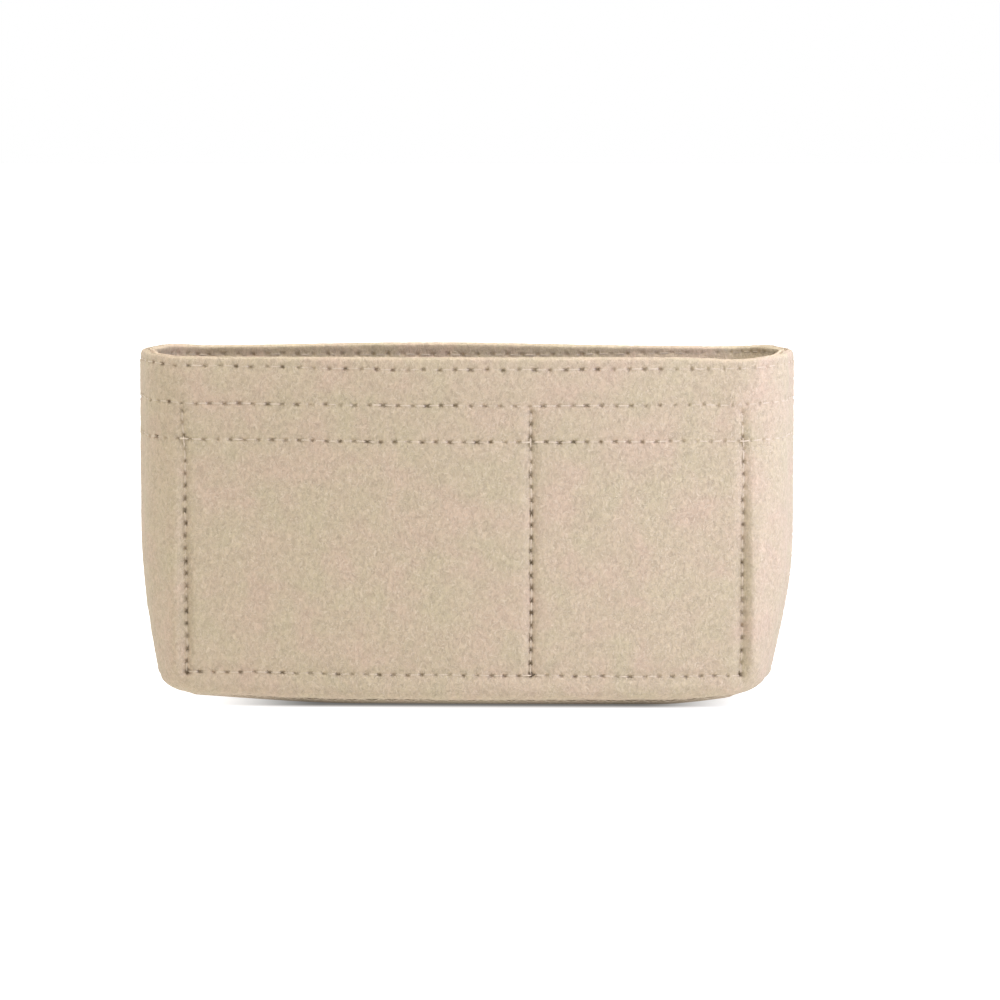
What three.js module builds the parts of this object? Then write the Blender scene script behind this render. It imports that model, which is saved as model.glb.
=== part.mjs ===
// Purse organizer insert: an open box of soft felt, sewn from two matching halves and a base.
// Millimetres, +Z up, the front faces -Y, and the origin is on the floor under the middle.
import * as THREE from 'three';

// Overall sizes of the felt box
const bodyHeight = 105.5;
const bodyWidth = 198; // over the gussets, above the belly
const bodyDepth = 70; // over the front and back, at the rim
const footWidth = 186; // over the gussets, where the wall starts to round under
const footDepth = 62;
const bellyHeight = 55; // the gussets widen up to this height
const cornerRadius = 16.5; // of the plan corners, above the belly
const footCornerRadius = 12; // of the plan corners, at the foot
const footRadius = 8; // how the wall rounds under to the base
const seamRise = 1.4; // the base seam is drawn up off the floor
const frontBow = 3; // how far the front bows out between its corners
const gussetBow = 2.5;

// Felt thicknesses and the clearance between layers
const shellFelt = 2.5;
const facingFelt = 2;
const pocketFelt = 2;
const baseFelt = 2.5;
const layerGap = 0.3;
const seamGap = 0.3; // between felt edges that meet in a butt seam

// Stitch rows, measured down from the rim
const rimRowDrop = 3.8;
const backRimRowDrop = 2.2; // the back's rim row is sewn closer to its rim
const upperRowDrop = 14.4;
const lowerRowDrop = 25.2;
const facingMargin = 4.5; // facing felt below its lowest row

// Inner pocket panel
const pocketSeamWrap = 2; // the side seams lie this far round the plan corners
const dividerOffset = 20; // to the right of the middle, seen from outside
const pocketSideMargin = 3.5; // felt outside the side seams
const pocketBottomMargin = 1.2; // felt below the bottom seam
const pocketMouthRise = 1; // mouth above the upper row
const pocketGape = 10; // how far a mouth stands open

// Base
const baseBevelRun = 5; // how far inside its edge the base comes down to the floor

// Threads
const threadWidth = 0.4;
const zigzagPitch = 6;
const zigzagReach = 1.6; // to each side of a butt seam
const rowEndSetback = 3; // from a side seam to the end of a stitch row
const seamStartDrop = 1.3; // upright seams start this far below the upper row
const crossingRun = 1.2; // a thread rises within this distance to cross a row

// Counts
const gussetSteps = 3;
const cornerSteps = 4;
const frontSteps = 8;
const wallSteps = 8;
const footSteps = 4;
const pocketSteps = 9; // across each pocket
const pocketRows = 6; // of the panel below the facing
const mouthRows = 2; // of the panel beside the facing
const bottomSteps = 14;
const footSwings = 3; // of a side seam's thread round the foot
const footSeamShare = 0.75; // how much of the foot's curve the side seam's thread covers
const gapePower = 1.3; // how softly a pocket's curve leaves its seams

// Derived sizes
const footTop = seamRise + footRadius;
const facingInset = shellFelt + layerGap;
const facingInner = facingInset + facingFelt;
const threadLift = layerGap + threadWidth / 2; // from a felt face to the middle of a thread
const upperRowHeight = bodyHeight - upperRowDrop;
const lowerRowHeight = bodyHeight - lowerRowDrop;
const bottomRowHeight = footTop + pocketBottomMargin;
const facingBottom = lowerRowHeight - facingMargin;
const pocketMouth = upperRowHeight + pocketMouthRise;
const seamStart = upperRowHeight - seamStartDrop;
const pocketSeamX = bodyWidth / 2 - gussetBow - cornerRadius + pocketSeamWrap;

const { clamp, lerp } = THREE.MathUtils;
const up = new THREE.Vector3(0, 0, 1);

// Colours and surfaces
const beigeFelt = new THREE.MeshStandardMaterial({ color: 0xcfbb9d, roughness: 0.96, metalness: 0 });
const liningFelt = new THREE.MeshStandardMaterial({ color: 0xc9b596, roughness: 0.96, metalness: 0 });
const beigeThread = new THREE.MeshStandardMaterial({ color: 0xd9c8ac, roughness: 0.6, metalness: 0 });

// Evenly spaced values that leave out the last one
function steps(from, to, count) {
  return Array.from({ length: count }, (_, index) => lerp(from, to, index / count));
}

// A smooth bump, 1 at the middle and level at both ends
function bump(share) {
  return (1 - share ** 2) ** 2;
}

// The plan corner of the outer face at a height
function cornerAt(z) {
  const level = Math.max(z, footTop);
  const rise = Math.sin(clamp((level - footTop) / (bellyHeight - footTop), 0, 1) * Math.PI / 2);
  const side = lerp(footWidth, bodyWidth, rise) / 2 - gussetBow;
  const front = lerp(footDepth, bodyDepth, level / bodyHeight) / 2 - frontBow;
  const radius = lerp(footCornerRadius, cornerRadius, rise);
  return { x: side - radius, y: front - radius, radius };
}

// A point of the front half at a height. |s| is 0 to 1 over the front, 1 to 2 round the corner
// and 2 to 3 over the gusset, where 3 is the side seam; its sign is the side.
function planPoint(s, z, inset) {
  const outer = cornerAt(z);
  const reach = Math.max(outer.radius - inset, shellFelt);
  const shift = inset + reach - outer.radius; // the corner's centre moves in once its radius is used up
  const corner = { x: outer.x - shift, y: outer.y - shift };
  const side = Math.sign(s);
  const run = Math.abs(s);
  if (run <= 1) {
    return new THREE.Vector3(s * corner.x, -corner.y - reach - frontBow * bump(s), z);
  }
  if (run <= 2) {
    const turn = (run - 1) * Math.PI / 2;
    const x = corner.x + reach * Math.sin(turn);
    return new THREE.Vector3(side * x, -corner.y - reach * Math.cos(turn), z);
  }
  const x = corner.x + reach + gussetBow * bump(3 - run);
  return new THREE.Vector3(side * x, -lerp(corner.y, seamGap / 2, run - 2), z);
}

// A point on a layer that lies inset inside the outer face. run is 0 to 1 from the rim down the
// upright wall and 1 to 2 round the foot.
function layerPoint(s, run, inset) {
  if (run <= 1) {
    return planPoint(s, lerp(bodyHeight, footTop, run), inset);
  }
  const turn = (run - 1) * Math.PI / 2;
  const radius = footRadius - inset;
  return planPoint(s, footTop - radius * Math.sin(turn), footRadius - radius * Math.cos(turn));
}

function runAt(z) {
  return (bodyHeight - z) / (bodyHeight - footTop);
}

// The station at a distance from the middle of the front
function stationAt(distance, z) {
  const corner = cornerAt(z);
  const past = Math.abs(distance) - corner.x;
  const run = past <= 0 ? Math.abs(distance) / corner.x : 1 + past / (corner.radius * Math.PI / 2);
  return Math.sign(distance) * run;
}

// The station at a distance from the side seam on the gusset
function seamStation(side, distance, z) {
  return side * (3 - distance / (cornerAt(z).y - seamGap / 2));
}

// Direction out of the felt on the face at an inset
function outward(s, run, face) {
  return layerPoint(s, run, face - threadWidth).sub(layerPoint(s, run, face)).normalize();
}

// A closed solid from its points and triangles, turned so that its faces point out
function solid(points, triangles) {
  let volume = 0;
  for (const [a, b, c] of triangles) {
    volume += points[a].dot(points[b].clone().cross(points[c]));
  }
  const faces = volume > 0 ? triangles : triangles.map(([a, b, c]) => [a, c, b]);
  const geometry = new THREE.BufferGeometry().setFromPoints(points);
  geometry.setIndex(faces.flat());
  geometry.computeVertexNormals();
  return geometry;
}

// Rings of equal length joined side by side; the ends are capped unless the rings close
function loft(rings, closed, capTriangles) {
  const points = rings.flat();
  const size = rings[0].length;
  const triangles = [];
  const last = closed ? rings.length : rings.length - 1;
  for (let ring = 0; ring < last; ring += 1) {
    const here = ring * size;
    const next = ((ring + 1) % rings.length) * size;
    for (let index = 0; index < size; index += 1) {
      const following = (index + 1) % size;
      triangles.push([here + index, next + index, next + following]);
      triangles.push([here + index, next + following, here + following]);
    }
  }
  if (!closed) {
    const end = (rings.length - 1) * size;
    for (const [a, b, c] of capTriangles) {
      triangles.push([a, b, c]);
      triangles.push([end + a, end + c, end + b]);
    }
  }
  return solid(points, triangles);
}

// A sheet of felt between an outer and an inner row of points at each station
function felt(stations, outerRow, innerRow) {
  const rings = stations.map((station) => [...outerRow(station), ...innerRow(station).reverse()]);
  const count = rings[0].length;
  const cap = [];
  for (let index = 0; index < count / 2 - 1; index += 1) {
    const opposite = count - 1 - index;
    cap.push([index, index + 1, opposite]);
    cap.push([index + 1, opposite - 1, opposite]);
  }
  return loft(rings, false, cap);
}

// A thread through places, each a point and the direction out of the felt there
function thread(places, closed = false) {
  const middles = places.map(({ point }) => point);
  const count = middles.length;
  const last = count - 1;
  const rings = middles.map((middle, index) => {
    const before = middles[closed ? (index + last) % count : Math.max(index - 1, 0)];
    const after = middles[closed ? (index + 1) % count : Math.min(index + 1, last)];
    const along = after.clone().sub(before).normalize();
    const across = along.cross(places[index].out).normalize().multiplyScalar(threadWidth / 2);
    const lift = places[index].out.clone().multiplyScalar(threadWidth / 2);
    return [
      middle.clone().add(lift),
      middle.clone().add(across),
      middle.clone().sub(lift),
      middle.clone().sub(across),
    ];
  });
  return loft(rings, closed, [[0, 1, 2], [0, 2, 3]]);
}

// A place for a thread on the face at an inset; lift is measured away from the felt
function place(s, run, face, lift) {
  return { point: layerPoint(s, run, face - lift), out: outward(s, run, face) };
}

const wallStations = [
  ...steps(-3, -2, gussetSteps),
  ...steps(-2, -1, cornerSteps),
  ...steps(-1, 1, frontSteps),
  ...steps(1, 2, cornerSteps),
  ...steps(2, 3, gussetSteps),
  3,
];
const wallRuns = [...steps(0, 1, wallSteps), ...steps(1, 2, footSteps), 2];

// Outer felt of one half, from the rim down and round the foot to the base seam
function shell() {
  const row = (inset) => (s) => wallRuns.map((run) => layerPoint(s, run, inset));
  return felt(wallStations, row(0), row(shellFelt));
}

// Band inside the rim of one half
function rimFacing() {
  const runs = [0, runAt(upperRowHeight), runAt(facingBottom)];
  const row = (inset) => (s) => runs.map((run) => layerPoint(s, run, inset));
  return felt(wallStations, row(facingInset), row(facingInner));
}

// The pocket panel clears the facing and the thread on it above, and meets the shell at the bottom
function pocketInset(z) {
  const share = clamp((z - footTop) / (facingBottom - footTop), 0, 1);
  return lerp(facingInset, facingInner + threadWidth + 2 * layerGap, share);
}

// Distances of the three upright seams from the middle of the front
const pocketSeams = [-pocketSeamX, dividerOffset, pocketSeamX];

// How far the pocket panel stands in from the wall, open between its seams and closed at the bottom
function gapeAt(distance, z) {
  const height = clamp((z - bottomRowHeight) / (pocketMouth - bottomRowHeight), 0, 1);
  const pocket = distance < dividerOffset ? 0 : 1;
  const from = pocketSeams[pocket];
  const share = clamp((distance - from) / (pocketSeams[pocket + 1] - from), 0, 1);
  return pocketGape * Math.sin(share * Math.PI) ** gapePower * Math.sin(height * Math.PI / 2);
}

function pocketPoint(distance, z, depth) {
  const inset = pocketInset(z) + gapeAt(distance, z) + depth;
  return planPoint(stationAt(distance, z), z, inset);
}

// Panel inside the wall of one half that makes its two pockets
function pocketPanel() {
  const edge = pocketSeamX + pocketSideMargin;
  const distances = [
    -edge,
    ...steps(-pocketSeamX, dividerOffset, pocketSteps),
    ...steps(dividerOffset, pocketSeamX, pocketSteps),
    pocketSeamX,
    edge,
  ];
  const heights = [
    ...steps(pocketMouth, facingBottom, mouthRows),
    ...steps(facingBottom, footTop, pocketRows),
    footTop,
  ];
  const row = (depth) => (distance) => heights.map((z) => pocketPoint(distance, z, depth));
  return felt(distances, row(0), row(pocketFelt));
}

// Stitch row round one half at a height
function rowThread(z, face, lift) {
  const run = runAt(z);
  const ends = [-1, 1].map((side) => seamStation(side, rowEndSetback, z));
  const between = wallStations.filter((s) => s > ends[0] && s < ends[1]);
  return thread([ends[0], ...between, ends[1]].map((s) => place(s, run, face, lift)));
}

// Stops of an upright seam from its start down to an end height; over is its rise across the lower row
function uprightStops(end) {
  const over = threadWidth + layerGap;
  return [
    { z: seamStart, over: 0 },
    { z: lowerRowHeight + 2 * crossingRun, over: 0 },
    { z: lowerRowHeight + crossingRun, over },
    { z: lowerRowHeight - crossingRun, over },
    { z: lowerRowHeight - 2 * crossingRun, over: 0 },
    ...steps(facingBottom, end, pocketRows).slice(1).map((z) => ({ z, over: 0 })),
    { z: end, over: 0 },
  ];
}

function outerUpright(distance, end) {
  return uprightStops(end).map(({ z, over }) => {
    return place(stationAt(distance, z), runAt(z), 0, threadLift + over);
  });
}

function innerUpright(distance, end) {
  return uprightStops(end).map(({ z }) => {
    return place(stationAt(distance, z), runAt(z), pocketInset(z) + pocketFelt, -threadLift);
  });
}

// Down the left seam, along the bottom and up the right seam in one thread
function outlineThread(upright, face, lift) {
  const run = runAt(bottomRowHeight);
  const bottom = steps(-pocketSeamX, pocketSeamX, bottomSteps)
    .slice(1)
    .map((distance) => place(stationAt(distance, bottomRowHeight), run, face, lift));
  const left = upright(-pocketSeamX, bottomRowHeight);
  const right = upright(pocketSeamX, bottomRowHeight).reverse();
  return thread([...left, ...bottom, ...right]);
}

// The divider seam ends just above the thread of the bottom row
function dividerThread(upright) {
  return thread(upright(dividerOffset, bottomRowHeight + threadWidth + layerGap));
}

// The same place on the other half, across a side seam
function acrossSeam({ point, out }) {
  const mirror = new THREE.Vector3(1, -1, 1);
  return { point: point.clone().multiply(mirror), out: out.clone().multiply(mirror) };
}

// A thread that swings from half to half over a side seam, from the rim down round the foot
function sideThread(side, faceAt, lift) {
  const height = bodyHeight - footTop;
  const swings = Math.round(height / zigzagPitch) * 2;
  const runs = [...steps(zigzagPitch / 2 / height, 1, swings), ...steps(1, 1 + footSeamShare, footSwings)];
  const places = runs.map((run, index) => {
    const z = Math.max(lerp(bodyHeight, footTop, run), footTop);
    const spot = place(seamStation(side, zigzagReach, z), run, faceAt(z), lift);
    return index % 2 === 0 ? spot : acrossSeam(spot);
  });
  return thread(places);
}

// Inner face at a side seam: the facing as far as one swing below it, then the shell
function innerFaceAt(z) {
  return z > facingBottom - zigzagPitch / 2 ? facingInner : shellFelt;
}

// Points of the front half, then those of the back half, which is the front half turned half a turn
function aroundBox(points) {
  return [...points, ...points.map((point) => new THREE.Vector3(-point.x, -point.y, point.z))];
}

// Height of the underside of the base at a distance inside its edge
function baseUnderside(distance) {
  return seamRise * (1 - distance / baseBevelRun);
}

// Felt base: level in the middle, with its edge drawn up to the base seam
function basePanel() {
  const edge = footRadius + seamGap;
  const levels = [
    { inset: edge + baseBevelRun, z: 0 },
    { inset: edge, z: seamRise },
    { inset: edge, z: seamRise + baseFelt },
    { inset: edge + baseBevelRun, z: baseFelt },
  ];
  const loops = levels.map(({ inset, z }) => aroundBox(wallStations.map((s) => planPoint(s, z, inset))));
  const size = loops[0].length;
  const top = (loops.length - 1) * size;
  const points = [...loops.flat(), new THREE.Vector3(0, 0, 0), new THREE.Vector3(0, 0, baseFelt)];
  const under = points.length - 2;
  const over = points.length - 1;
  const triangles = [];
  for (let index = 0; index < size; index += 1) {
    const next = (index + 1) % size;
    for (let low = 0; low < top; low += size) {
      const high = low + size;
      triangles.push([low + index, low + next, high + next]);
      triangles.push([low + index, high + next, high + index]);
    }
    triangles.push([under, next, index]);
    triangles.push([over, top + index, top + next]);
  }
  return solid(points, triangles);
}

// Stations of the base seam on one half, one for each swing of its thread
function baseSeamStations() {
  return wallStations.slice(0, -1).flatMap((s, index) => {
    const next = wallStations[index + 1];
    const length = layerPoint(s, 2, 0).distanceTo(layerPoint(next, 2, 0));
    return steps(s, next, Math.max(1, Math.round(length * 2 / zigzagPitch)));
  });
}

// A thread that swings from the wall to the base, all round the base seam; side is 1 inside the box
// and -1 under it
function baseThread(side) {
  const wallRadius = side > 0 ? footRadius - shellFelt - threadLift : footRadius + threadLift;
  const wallZ = footTop - Math.sqrt(wallRadius ** 2 - zigzagReach ** 2);
  const felt = side > 0 ? baseFelt : 0;
  const baseZ = baseUnderside(zigzagReach) + felt + side * threadLift;
  const stations = baseSeamStations();
  const swing = (s, onWall) => {
    const inset = onWall ? footRadius - zigzagReach : footRadius + seamGap + zigzagReach;
    return planPoint(s, onWall ? wallZ : baseZ, inset);
  };
  const points = [0, 1].flatMap((half) => {
    return stations.map((s, index) => {
      const onWall = (index + half * stations.length) % 2 === 0;
      return swing(s, onWall).applyAxisAngle(up, half * Math.PI);
    });
  });
  const out = new THREE.Vector3(0, 0, side);
  return thread(points.map((point) => ({ point, out })), true);
}

const box = new THREE.Group();

function add(group, name, geometry, material) {
  const mesh = new THREE.Mesh(geometry, material);
  mesh.name = name;
  group.add(mesh);
}

// The pieces of one half, which are sewn together flat before the box is closed
function sewnHalf(name, rimDrop) {
  const group = new THREE.Group();
  add(group, `${name}_shell`, shell(), beigeFelt);
  add(group, `${name}_rim_facing`, rimFacing(), liningFelt);
  add(group, `${name}_pocket_panel`, pocketPanel(), liningFelt);
  const rows = { rim_row: bodyHeight - rimDrop, upper_row: upperRowHeight, lower_row: lowerRowHeight };
  for (const [row, z] of Object.entries(rows)) {
    add(group, `${name}_${row}_outer_thread`, rowThread(z, 0, threadLift), beigeThread);
    add(group, `${name}_${row}_inner_thread`, rowThread(z, facingInner, -threadLift), beigeThread);
  }
  const panelFace = pocketInset(bottomRowHeight) + pocketFelt;
  const outline = `${name}_pocket_outline`;
  add(group, `${outline}_outer_thread`, outlineThread(outerUpright, 0, threadLift), beigeThread);
  add(group, `${outline}_inner_thread`, outlineThread(innerUpright, panelFace, -threadLift), beigeThread);
  add(group, `${name}_pocket_divider_outer_thread`, dividerThread(outerUpright), beigeThread);
  add(group, `${name}_pocket_divider_inner_thread`, dividerThread(innerUpright), beigeThread);
  return group;
}

const back = sewnHalf('back', backRimRowDrop);
back.rotation.z = Math.PI;
box.add(sewnHalf('front', rimRowDrop), back);
add(box, 'base_panel', basePanel(), beigeFelt);
for (const [name, side] of [['left', -1], ['right', 1]]) {
  add(box, `${name}_side_seam_outer_thread`, sideThread(side, () => 0, threadLift), beigeThread);
  add(box, `${name}_side_seam_inner_thread`, sideThread(side, innerFaceAt, -threadLift), beigeThread);
}
add(box, 'base_seam_outer_thread', baseThread(-1), beigeThread);
add(box, 'base_seam_inner_thread', baseThread(1), beigeThread);

export default box;
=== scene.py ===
import math

import bpy
import numpy as np
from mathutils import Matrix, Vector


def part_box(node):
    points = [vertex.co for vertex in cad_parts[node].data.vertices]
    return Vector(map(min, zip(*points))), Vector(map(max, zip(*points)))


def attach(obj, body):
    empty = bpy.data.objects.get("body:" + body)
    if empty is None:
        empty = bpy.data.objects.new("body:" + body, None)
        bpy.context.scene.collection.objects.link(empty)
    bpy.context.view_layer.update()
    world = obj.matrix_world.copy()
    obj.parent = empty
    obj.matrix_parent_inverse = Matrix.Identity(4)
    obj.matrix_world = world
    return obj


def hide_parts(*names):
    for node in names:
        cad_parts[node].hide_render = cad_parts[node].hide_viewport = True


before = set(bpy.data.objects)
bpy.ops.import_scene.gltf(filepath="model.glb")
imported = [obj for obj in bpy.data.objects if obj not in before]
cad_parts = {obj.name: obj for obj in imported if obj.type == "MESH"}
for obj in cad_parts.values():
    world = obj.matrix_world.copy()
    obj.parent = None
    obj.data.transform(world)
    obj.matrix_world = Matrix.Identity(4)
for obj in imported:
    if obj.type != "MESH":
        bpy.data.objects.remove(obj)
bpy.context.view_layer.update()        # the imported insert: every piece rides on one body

# Purse organizer insert in soft beige felt: two sewn halves, a base, inner pockets and all the
# stitching. Sizes are millimetres, unless a note says otherwise.
mm = 0.001
shellLow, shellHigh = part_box("front_shell")

insert = {
    "height": shellHigh.z / mm,
    "width": 2 * shellHigh.x / mm,
    "depth": -2 * shellLow.y / mm,
    "footWidth": 187,  # where the wall starts to round under
    "footDepth": 62,
    "bellyHeight": 53,  # the gussets widen up to here
    "cornerRadius": 16.5,
    "footCornerRadius": 12,
    "footRadius": 8,
    "frontFullness": 4.5, "cornerFullness": 2,  # 2 is a round foot, and more is a fuller one
    "fullEnd": 0.7,  # the share of the front that has the fuller foot
    "seamRise": 1.4,  # the base seam is drawn up off the floor
    "frontBow": 3,
    "gussetBow": 2.5,
}
felt = {
    "shell": 2.5, "facing": 2, "pocket": 2, "base": 2.5, "layerGap": 0.3, "seamGap": 0.06,
    "slant": 0.7, "slantReach": 4,  # butt seams are cut at a slant, so that no light falls through
    "baseGap": 0.1, "baseSlant": -0.5, "baseSlantShare": 0.3,
}
soft = {  # slow waves that the whole wall shares, so that its layers stay together
    "wave": 0.45, "shortShare": 0.6,
    "waveLengths": (71, 43),
    "fade": 18,  # from the side seams and the base
    # the foot stands a little off the floor, and more towards its ends
    "liftMiddle": 1.4, "liftFrom": 14, "liftTop": 12,
    "liftLeft": {"start": 30, "end": 100, "height": 3.0},
    "liftRight": {"start": 58, "end": 95, "height": 3.3},
    "lean": -0.9, "leanTop": 45,
    "earStart": 80, "earEnd": 95, "ear": 0.8,  # the rim rises a little at its ends
    "edge": 3.5,  # the height of felt along the rim that has stretched
    "crown": 1.0, "crownAt": -14, "crownWidth": 48,  # at the middle of the back
    "dip": 0.3, "cornerDip": 0.6, "dipAt": 82, "dipWidth": 12,  # the front rim is a little lower
    "halfBlend": 20,  # between what only the front or only the back does
}

rimHeight = insert["height"]
footTop = insert["seamRise"] + insert["footRadius"]
wallLength = rimHeight - footTop
footLength = insert["footRadius"] * math.pi / 2
facingInset = felt["shell"] + felt["layerGap"]
facingInner = facingInset + felt["facing"]
patternStart = 500  # where on the random hills a piece of felt starts


def lerp(a, b, share):
    return a + (b - a) * share


def unit(vectors):
    return vectors / np.linalg.norm(vectors, axis=-1, keepdims=True)


def bump(share):  # 1 at the middle and level at both ends
    return (1 - share ** 2) ** 2


def smooth(share):
    share = np.clip(share, 0, 1)
    return share * share * (3 - 2 * share)


def patches(x, y, size, seed):
    # soft random hills from -1 to 1, about size across
    cells = 256
    table = np.random.default_rng(seed).uniform(-1, 1, (cells, cells))
    gx, gy = np.asarray(x) / size, np.asarray(y) / size
    ix, iy = np.floor(gx).astype(int), np.floor(gy).astype(int)
    wx, wy = smooth(gx - ix), smooth(gy - iy)
    low = lerp(table[ix % cells, iy % cells], table[(ix + 1) % cells, iy % cells], wx)
    high = lerp(table[ix % cells, (iy + 1) % cells], table[(ix + 1) % cells, (iy + 1) % cells], wx)
    return lerp(low, high, wy)


# The shape of the wall. s is 0 to 1 over the front, 1 to 2 round the corner and 2 to 3 over the
# gusset, where 3 is the side seam; its sign is the side. run is 0 to 1 down the upright wall and
# 1 to 2 round the foot. The back half is the front half turned half a turn.
def cornerAt(z):
    level = np.maximum(z, footTop)
    climb = np.clip((level - footTop) / (insert["bellyHeight"] - footTop), 0, 1)
    rise = np.sin(climb * math.pi / 2)
    side = lerp(insert["footWidth"], insert["width"], rise) / 2 - insert["gussetBow"]
    front = lerp(insert["footDepth"], insert["depth"], level / rimHeight) / 2 - insert["frontBow"]
    radius = lerp(insert["footCornerRadius"], insert["cornerRadius"], rise)
    return side - radius, front - radius, radius


def planPoint(s, z, inset):
    cornerX, cornerY, radius = cornerAt(z)
    reach = np.maximum(radius - inset, felt["shell"])
    shift = inset + reach - radius
    cornerX, cornerY = cornerX - shift, cornerY - shift
    run = np.abs(s)
    turn = np.clip(run - 1, 0, 1) * math.pi / 2
    swell = np.where(run > 2, insert["gussetBow"] * bump(np.clip(3 - run, 0, 1)), 0)
    x = np.where(run <= 1, run * cornerX, cornerX + reach * np.sin(turn) + swell)
    front = -cornerY - reach - insert["frontBow"] * bump(np.clip(run, 0, 1))
    corner = -cornerY - reach * np.cos(turn)
    gusset = -lerp(cornerY, felt["seamGap"] / 2, run - 2)
    y = np.where(run <= 1, front, np.where(run <= 2, corner, gusset))
    return np.stack(np.broadcast_arrays(np.sign(s) * x, y, z), -1)


def dropAt(run):
    return np.minimum(run, 1) * wallLength + np.maximum(run - 1, 0) * footLength


def cornerBelow(down):
    return cornerAt(rimHeight - np.minimum(down, wallLength))


def halfGirth(corner):
    cornerX, cornerY, radius = corner
    return cornerX + radius * math.pi / 2 + cornerY


def feltPlace(s, run):
    # distances along the felt: from the middle of the front, and down from the rim
    down = dropAt(run)
    cornerX, cornerY, radius = cornerBelow(down)
    side = np.abs(s)
    along = np.minimum(side, 1) * cornerX
    along = along + np.clip(side - 1, 0, 1) * radius * math.pi / 2
    along = along + np.clip(side - 2, 0, 1) * (cornerY - felt["seamGap"] / 2)
    return np.sign(s) * along, down


def wallPlace(along, down):
    run = np.where(down <= wallLength, down / wallLength, 1 + (down - wallLength) / footLength)
    cornerX, cornerY, radius = cornerBelow(down)
    arc = radius * math.pi / 2
    reach = np.abs(along)
    front = reach / cornerX
    corner = 1 + (reach - cornerX) / arc
    gusset = 2 + (reach - cornerX - arc) / (cornerY - felt["seamGap"] / 2)
    side = np.where(reach <= cornerX, front, np.where(reach <= cornerX + arc, corner, gusset))
    return np.sign(along) * side, run


def waves(s, run):
    along, down = feltPlace(s, run)
    edge = (3 - np.abs(s)) * insert["cornerRadius"]
    fade = smooth(edge / soft["fade"]) * smooth((wallLength + footLength - down) / soft["fade"])
    longWave, shortWave = soft["waveLengths"]
    along = along + patternStart
    return soft["wave"] * fade * (patches(along, down, longWave, 11)
                                  + soft["shortShare"] * patches(along, down, shortWave, 12))


def layerPoint(s, run, inset):
    depth = inset - waves(s, run)
    upright = planPoint(s, rimHeight - np.minimum(run, 1) * wallLength, depth)
    turn = np.clip(run - 1, 0, 1) * math.pi / 2
    corner = smooth(np.abs(s) / insert["fullEnd"] - 1)
    full = lerp(insert["frontFullness"], insert["cornerFullness"], corner)
    radius = (insert["footRadius"] - depth) / (np.cos(turn) ** full + np.sin(turn) ** full) ** (1 / full)
    near = smooth(1 - (2 - run) / felt["baseSlantShare"])
    slant = felt["baseSlant"] * (depth / felt["shell"] - 0.5) * near
    footInset = insert["footRadius"] + slant - radius * np.cos(turn)
    foot = planPoint(s, footTop - radius * np.sin(turn), footInset)
    return np.where((run <= 1)[..., None], upright, foot)


def settled(points):
    # the corners of the foot stand off the floor, the foot leans to the left, and the rim sways
    x, y, z = np.moveaxis(points, -1, 0)
    lift = soft["liftMiddle"] * smooth((np.abs(y) - soft["liftFrom"]) / soft["liftFrom"])
    for side, end in ((-1, soft["liftLeft"]), (1, soft["liftRight"])):
        lift = lerp(lift, end["height"], smooth((side * x - end["start"]) / (end["end"] - end["start"])))
    ears = soft["ear"] * smooth((np.abs(x) - soft["earStart"]) / (soft["earEnd"] - soft["earStart"]))
    crown = soft["crown"] * np.exp(-((x - soft["crownAt"]) / soft["crownWidth"]) ** 2)
    dip = soft["dip"] + soft["cornerDip"] * np.exp(-((x - soft["dipAt"]) / soft["dipWidth"]) ** 2)
    rim = crown * smooth(y / soft["halfBlend"]) - dip * smooth(-y / soft["halfBlend"])
    raised = z + lift * smooth(1 - z / soft["liftTop"])
    raised = raised + ears * smooth(z / rimHeight * 2 - 1)
    raised = raised + rim * smooth(1 - (rimHeight - z) / soft["edge"])
    return np.stack([x + soft["lean"] * smooth(1 - z / soft["leanTop"]), y, raised], -1)


def facePoint(along, down, inset):
    s, run = wallPlace(along, down)
    return layerPoint(s, run, inset)


print("stage: shape of the box ready")


# Sewing. Each seam is a run of needle points in felt distances, and the felt sinks along it.
sewing = {
    "hole": 1.2, "holeLength": 0.76, "holeWidth": 0.5,
    "fineLength": 1.3, "fineWidth": 0.95,  # cells this near to a needle hole are split
    "jitter": 0.16, "force": (0.5, 1.1), "stretch": (0.8, 1.3),  # uneven needle places and holes
    "endSetback": 3,  # from a side seam to the end of a row
    "endFade": 2, "endShift": 0.8,  # the sunk felt runs on a little past both ends of a seam
    "easeStart": 30, "easeLength": 60,  # holes close up from here towards one side
    "topGape": 0.6, "gapeStart": 15, "gapeLength": 45,  # and towards the tops of the uprights
    "climbLeft": 15, "climbRight": 30, "climbLength": 60,  # where the rows start to climb
}
pulls = {  # how the felt sinks beside a seam, how deep its thread lies and how wide its holes gape
    "rim": {"depth": 0.5, "width": 2.1, "bury": 0.14, "gape": 0.92, "ease": 0.5},
    "row": {"depth": 0.26, "width": 2.3, "bury": 0.14, "gape": 1.0, "ease": 0.55},
    "bottom": {"depth": 0.4, "width": 2, "bury": 0.14, "gape": 0.93, "ease": 0.3},
    "divider": {"depth": 0.9, "width": 1.6, "bury": 0.08, "gape": 1.5, "ease": 0},
    "outline": {"depth": 0.9, "width": 1.6, "bury": 0.08, "gape": 1.1, "ease": 0.2},
    "zigzag": {"depth": 0, "width": 1, "bury": 0, "gape": 1, "ease": 0},
}
rowPlan = {  # drop below the rim, stitch length, and how far the row climbs at its two ends
    "rim_row": {"drop": 3.8, "pitch": 4.65, "leftClimb": 0.9, "rightClimb": 0.2, "pull": "rim"},
    "upper_row": {"drop": 14.4, "pitch": 4.3, "leftClimb": 0.45, "rightClimb": 0.15, "pull": "row"},
    "lower_row": {"drop": 25.2, "pitch": 4.05, "leftClimb": 0.6, "rightClimb": 0.3, "pull": "row"},
}
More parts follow.
